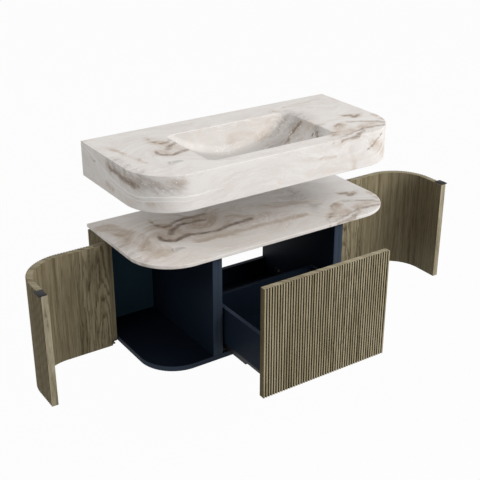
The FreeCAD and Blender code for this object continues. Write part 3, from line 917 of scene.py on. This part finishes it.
def doorCore():
    low, high = doorLow[2], doorHigh[2]
    outer = -flute["thickness"]
    inner = outer - door["core"]
    core = startBlock("leftDoorCore", (0, inner, low), (doorLength, outer, high))
    edit(core)
    pickEdges(core, lambda a, b: abs(a.x - b.x) > doorLength / 2)
    bpy.ops.mesh.subdivide(number_cuts=door["bendSteps"])
    bevelEdges(core, lambda a, b: near(inner, a.y, b.y) and any(near(z, a.z, b.z) for z in (low, high)),
               door["arris"], 2)
    done()
    armLow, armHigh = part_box("left_lower_hinge_arm")
    bladeEnd = doorLength - (doorHigh[0] - armLow[0])
    bladeBack = armLow[1] - doorHigh[1]
    mortise = startBlock("mortise", (bladeEnd, bladeBack, low - past),
                         (doorLength + past, bladeBack + hingeLeaf["blade"], armHigh[2]))
    cut(core, mortise)
    keepRun(core)
    bent(core, doorLow, doorHigh, door["radius"])
    smooth(core, creaseAngle)
    return core


for core in fitPair(doorCore(), "doorOak", "left_door", "oak_veneer", "left_door_panel"):
    refinishFaces(core, lambda c, n: abs(n.z) > 0.6 or (near(c.y, freeEnd) and n.y < -0.9))

boardArris = {"drawerFront": 0.6 * mm, "partition": 0.7 * mm}


def softBoard(name, node, arris):
    board = startBlock(name, *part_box(node))
    edit(board)
    bpy.ops.mesh.bevel(offset=arris, segments=2, affect="EDGES")
    done()
    return board


frontCore = softBoard("drawerFrontCore", "drawer_front_panel", boardArris["drawerFront"])
fit(frontCore, "boardOak", "drawer", "oak_veneer", "drawer_front_panel")
refinishFaces(frontCore, lambda c, n: abs(n.z) > 0.7)
# painted shade on the core's ends
refinishFaces(frontCore, lambda c, n: abs(n.x) > 0.7, "endOakShade")
print("cores modelled")


# navy boards with a paler navy on their front edge: painted light on those edges

def edgeLitBoard(name, node, arris):
    board = softBoard(name, node, arris)
    smooth(board)
    fit(board, "navy", "cabinet", "navy_board", node)
    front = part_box(node)[0][1]
    refinishFaces(board, lambda c, n: c.y < front + arris, "navyEdgeLit")


for side in ("left", "right"):
    edgeLitBoard(side + "DrawerPanel", side + "_drawer_panel", boardArris["partition"])
    edgeLitBoard(side + "EndPartition", side + "_end_partition", boardArris["partition"])
print("partitions modelled")


# pull plates on the doors

pullShape = {"corner": 2 * mm, "cornerSteps": 5, "arris": 0.4 * mm}


def pullPlate():
    plate = startBlock("leftPull", *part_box("left_door_pull"))
    edit(plate)
    bevelEdges(plate, lambda a, b: near(a.x, b.x) and near(a.y, b.y),
               pullShape["corner"], pullShape["cornerSteps"])
    bevelEdges(plate, lambda a, b: near(a.z, b.z), pullShape["arris"], 2)
    done()
    smooth(plate)
    return plate


fitPair(pullPlate(), "black", "left_door", "black_metal", "left_door_pull")
print("pulls modelled")


# waste, hinge washers and screws

def turned(name, middle, outline, corners=48):  # rings of radius and height, each drawn out of the last
    dropSelection()
    radius, height = outline[0]
    bpy.ops.mesh.primitive_circle_add(vertices=corners, radius=radius,
                                      location=(middle[0], middle[1], height))
    piece = settled(bpy.context.object)
    piece.name = name
    edit(piece)
    for nextRadius, nextHeight in outline[1:] + outline[:1]:
        extrude((0, 0, nextHeight - height))
        bpy.ops.transform.resize(value=(nextRadius / radius, nextRadius / radius, 1),
                                 center_override=(middle[0], middle[1], nextHeight))
        radius, height = nextRadius, nextHeight
    pickAll()
    bpy.ops.mesh.remove_doubles(threshold=mergeGap / 5)
    faceOutwards()
    done()
    return piece


waste = {
    "bore": 17.5 * mm, "tube": 22 * mm, "tail": 20.95 * mm, "tailLength": 45 * mm, "flangeThick": 3.5 * mm,
    "threadPitch": 2.3 * mm, "threadDepth": 0.7 * mm, "threadStart": 1 * mm, "edge": 1.2 * mm,
    "mouth": 0.6 * mm, "bridge": 5 * mm, "bridgeDrop": 14 * mm, "stem": 4 * mm, "capThick": 4 * mm,
    "capEdge": 1.4 * mm, "chamfer": 0.8 * mm, "washer": 1.6 * mm, "washerRim": 3 * mm,
    "washerCrown": 0.4 * mm, "play": 0.02 * mm, "drill": 100 * mm, "corners": 64,
}


def wasteTube(middle, low, high):
    flange = high[0] - middle[0]
    bottom, top = low[2], high[2]
    tailTop = bottom + waste["tailLength"]
    under = top - waste["flangeThick"]
    bore, tube, tail, edge = waste["bore"], waste["tube"], waste["tail"], waste["edge"]
    pitch = waste["threadPitch"]
    root = tail - waste["threadDepth"]
    rings = [(bore, bottom), (root, bottom)]
    for i in range(int((waste["tailLength"] - 2 * waste["threadStart"]) / pitch)):
        z = bottom + waste["threadStart"] + i * pitch
        rings += [(root, z), (tail, z + 0.4 * pitch), (tail, z + 0.6 * pitch)]
    rings += [(root, tailTop), (tube, tailTop), (tube, under), (flange, under), (flange, top - edge),
              (flange - 0.3 * edge, top - 0.3 * edge), (flange - edge, top),
              (bore + waste["mouth"], top), (bore, top - waste["mouth"])]
    pipe = turned("wasteTube", middle, rings, waste["corners"])
    half = waste["bridge"]
    barTop = top - waste["bridgeDrop"]
    bar = startBlock("bar", (middle[0] - bore - past, middle[1] - half, barTop - half),
                     (middle[0] + bore + past, middle[1] + half, barTop))
    edit(bar)
    bevelEdges(bar, lambda a, b: near(a.y, b.y) and near(a.z, b.z), waste["chamfer"], 2)
    done()
    return joined("wasteTube", [pipe, bar])


def wasteCap(middle, low, high):
    radius, thick = high[0] - middle[0], waste["capThick"]
    under = high[2] - thick
    cap = startDrum("wasteCap", radius, thick, (middle[0], middle[1], high[2] - thick / 2),
                    corners=waste["corners"])
    edit(cap)
    bevelEdges(cap, lambda a, b: near(high[2], a.z, b.z), waste["capEdge"], 4)
    pickFaces(cap, lambda c, n: near(c.z, under) and n.z < -0.9)
    bpy.ops.mesh.inset(thickness=radius - waste["stem"])
    extrude((0, 0, low[2] - under))
    done()
    return cap


def wasteNut(middle, low, high):
    top = high[2] - waste["washer"]
    nut = startDrum("wasteNut", high[0] - middle[0], top - low[2], (middle[0], middle[1], (top + low[2]) / 2),
                    (0, 0, math.pi / 6), 6)
    bore = startDrum("bore", waste["tube"], waste["drill"], (middle[0], middle[1], low[2]),
                     corners=waste["corners"])
    cut(nut, bore)

    def outside(point):
        return math.hypot(point.x - middle[0], point.y - middle[1]) > waste["tube"] + 2 * past

    edit(nut)
    bevelEdges(nut, lambda a, b: outside(a) and outside(b), waste["chamfer"], 2)
    done()
    return nut


def wasteWasher(middle, nutHigh):
    top = nutHigh[2] - waste["play"]
    bottom = nutHigh[2] - waste["washer"]
    radius = nutHigh[0] + waste["washerRim"]  # the waste lies at X = 0
    crown = (radius + waste["washerCrown"], bottom + waste["washer"] / 2)
    rings = [(waste["tube"], bottom), (radius, bottom), crown, (radius, top), (waste["tube"], top)]
    return turned("wasteWasher", middle, rings, waste["corners"])


def middleOf(node):
    low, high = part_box(node)
    return (low[0] + high[0]) / 2, (low[1] + high[1]) / 2


wasteMiddle = middleOf("waste_body")
for makePart, node in ((wasteTube, "waste_body"), (wasteCap, "waste_cover"), (wasteNut, "waste_nut")):
    made = makePart(wasteMiddle, *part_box(node))
    smooth(made)
    fit(made, "chrome", "cabinet", "chrome", node)
washer = wasteWasher(wasteMiddle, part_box("waste_nut")[1])
smooth(washer)
fit(washer, "rubber", "cabinet", None)
print("waste modelled")

screw = {
    "radius": 2.7 * mm, "proud": 0.15 * mm, "deep": 0.6 * mm, "slot": 0.7 * mm, "slotDeep": 0.35 * mm,
    "slotReach": 0.62, "fromEnd": 7 * mm, "apart": 22 * mm,
}


def screwHead(name, x, y, top, radius, proud):  # countersunk, with a cross recess
    deep, half = screw["deep"], screw["slot"] / 2
    head = startDrum(name, radius, deep + proud, (x, y, top + (proud - deep) / 2), corners=28)
    edit(head)
    bevelEdges(head, lambda a, b: near(top + proud, a.z, b.z), min(0.4 * radius, proud), 2)
    done()
    reach = screw["slotReach"] * radius
    for along, across in ((reach, half), (half, reach)):
        recess = startBlock("recess", (x - along, y - across, top + proud - screw["slotDeep"]),
                            (x + along, y + across, top + proud + past))
        cut(head, recess)
    smooth(head, creaseAngle)
    return head


def hingeScrews(leaf, place):  # two in each leaf, and the same two seen from below
    low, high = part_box("left_upper_" + leaf)
    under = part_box("left_lower_" + leaf)[0][2]
    heads = []
    for i in range(2):
        x, y = place(low, high, screw["fromEnd"] + i * screw["apart"])
        upper = screwHead("hingeScrew", x, y, high[2], screw["radius"], screw["proud"])
        heads += [upper, flipped(upper, "hingeScrewUnder", (1, 1, -1), (0, 0, (high[2] + under) / 2))]
    return heads


hingeWasher = {"bore": 2.1 * mm, "radius": 4.2 * mm, "crown": 0.2 * mm, "play": 0.03 * mm}


def hingeWashers():
    bore, radius = hingeWasher["bore"], hingeWasher["radius"]
    rings = []
    for above, below in (("upper_hinge_arm", "upper_hinge_plate"), ("lower_hinge_plate", "lower_hinge_arm")):
        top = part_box("left_" + above)[0][2] - hingeWasher["play"]
        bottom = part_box("left_" + below)[1][2] + hingeWasher["play"]
        crown = (radius + hingeWasher["crown"], (top + bottom) / 2)
        outline = [(bore, bottom), (radius, bottom), crown, (radius, top), (bore, top)]
        rings.append(turned("hingeWasher", middleOf("left_hinge_pins"), outline, 32))
    return rings


halfBlade = hingeLeaf["blade"] / 2
plateHeads = hingeScrews("hinge_plate", lambda low, high, away: (high[0] - halfBlade, high[1] - away))
armHeads = hingeScrews("hinge_arm", lambda low, high, away: (low[0] + away, low[1] + halfBlade))
plateScrews = joined("leftPlateScrews", plateHeads)
armScrews = joined("leftArmScrews", armHeads)
washers = joined("leftWashers", hingeWashers())
smooth(washers)
fitPair(plateScrews, "black", "cabinet", "black_metal")
fitPair(armScrews, "brown", "left_door", "black_metal")
fitPair(washers, "plastic", "cabinet", None)

railScrew = {"radius": 3.6 * mm, "proud": 1.3 * mm, "web": 1.5 * mm, "fromEnd": 30 * mm, "drop": 8 * mm}


def railScrews():  # three pan heads in each rail's web
    low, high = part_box("left_runner_rail")
    first = screwHead("railScrew", 0, 0, 0, railScrew["radius"], railScrew["proud"])
    edit(first)
    bpy.ops.transform.rotate(value=-math.pi / 2, orient_axis="Y", center_override=(0, 0, 0))
    slide((low[0] + railScrew["web"], low[1] + railScrew["fromEnd"], high[2] - railScrew["drop"]))
    done()
    apart = (high[1] - low[1] - 2 * railScrew["fromEnd"]) / 2
    return joined("leftRailScrews", [first] + [copied(first, "railScrew", (0, i * apart, 0)) for i in (1, 2)])


fitPair(railScrews(), "bright", "cabinet", "zinc_steel")
print("washers and screws modelled")


# boards and hardware that keep their CAD shape: softened edges and their finish

kept = {
    "navy_board": ("navy", 0.7 * mm), "oak_veneer": ("boardOak", 0.5 * mm),
    "black_metal": ("black", 0.3 * mm), "zinc_steel": ("zinc", 0.25 * mm), "chrome": ("chrome", 0.4 * mm),
}
otherFinish = {"_back_panel": "navyBackLit", "_hinge_arm": "brown"}  # painted light on the back panels; the arms go with the lippings

for row in frame["record"]["subparts"]:
    if row["material_slot"] not in kept:
        continue
    node = frame["nodes"][row["node"]]
    finishName, arris = kept[row["material_slot"]]
    for ending, otherName in otherFinish.items():
        if row["node"].endswith(ending):
            finishName = otherName
    node.data.materials.clear()
    node.data.materials.append(finishes[finishName])
    weld = node.modifiers.new("weld", "WELD")
    weld.merge_threshold = mergeGap
    soften = node.modifiers.new("soften", "BEVEL")
    soften.width = arris
    soften.segments = 2
    soften.limit_method = "ANGLE"
    soften.angle_limit = math.radians(50)
# painted light on the drawer sides' top edges
for name in ("drawer_left_side", "drawer_right_side"):
    refinishFaces(frame["nodes"][name], lambda c, n: n.z > 0.9, "navyEdgeLit")
print("kept nodes finished")


# camera, floor and light

view = {"place": (-1.68315, -2.728578, 1.35432), "pitch": 24.83, "azimuth": 33.54,
        "lens": 70.518, "sensor": 36}

bpy.ops.object.camera_add(location=view["place"],
                          rotation=(math.radians(90 - view["pitch"]), 0, math.radians(-view["azimuth"])))
camera = bpy.context.object
camera.data.lens = view["lens"]
camera.data.sensor_width = view["sensor"]
bpy.context.scene.camera = camera

studio = {
    "floorZ": -0.70, "floorSize": 30, "floorTone": (0.40, 0.40, 0.40, 1), "floorGlow": 0.97,
    "ambient": 0.36, "aim": (0, -0.25, 0.05),
    # direction from straight ahead towards the right, height, distance, size, power
    "lamps": {"key": (34, 31, 5.0, 3.2, 236), "leftFill": (-80, 38, 5.0, 2.4, 68)},
}


def backdropRays(tree):  # rays that see the white backdrop
    seen = tree.nodes.new("ShaderNodeLightPath")
    eye, gloss, glass = [Wire(tree, seen.outputs["Is %s Ray" % kind])
                         for kind in ("Camera", "Glossy", "Transmission")]
    return clamped(eye + gloss + glass)


def studioFloor():
    dropSelection()
    bpy.ops.mesh.primitive_plane_add(size=studio["floorSize"], location=(0, 0, studio["floorZ"]))
    floor = bpy.context.object
    floor.name = "studioFloor"
    finish, place, shader = newFinish("paleFloor", 0.0)
    shader.inputs["Base Color"].default_value = studio["floorTone"]
    shader.inputs["Roughness"].default_value = 0.9
    tree = finish.node_tree
    shown = backdropRays(tree)
    glow = shown.node("Emission", {}, {"Color": (1, 1, 1, 1), "Strength": 1.0})
    both = shown.node("MixShader", {},
                      {0: shown * studio["floorGlow"], 1: Wire(tree, shader.outputs[0]), 2: glow})
    tree.links.new(both.socket, tree.nodes["Material Output"].inputs["Surface"])
    floor.data.materials.append(finish)


def studioWorld():
    world = bpy.data.worlds.new("studioWorld")
    bpy.context.scene.world = world
    world.use_nodes = True
    tree = world.node_tree
    shown = backdropRays(tree)
    back = tree.nodes["Background"]
    back.inputs["Color"].default_value = (1, 1, 1, 1)
    feed(back, "Strength", studio["ambient"] + shown * (1 - studio["ambient"]))


def studioLamp(name, side, height, distance, size, power):
    side, height = math.radians(side), math.radians(height)
    toLamp = Vector((math.sin(side) * math.cos(height), -math.cos(side) * math.cos(height), math.sin(height)))
    bpy.ops.object.light_add(type="AREA", location=Vector(studio["aim"]) + toLamp * distance)
    lamp = bpy.context.object
    lamp.name = name
    lamp.data.energy = power
    lamp.data.size = size
    lamp.rotation_euler = toLamp.to_track_quat("Z", "Y").to_euler()


studioFloor()
studioWorld()
for lampName, setting in studio["lamps"].items():
    studioLamp(lampName, *setting)
bpy.context.scene.view_settings.view_transform = "Standard"
print("camera and light set")
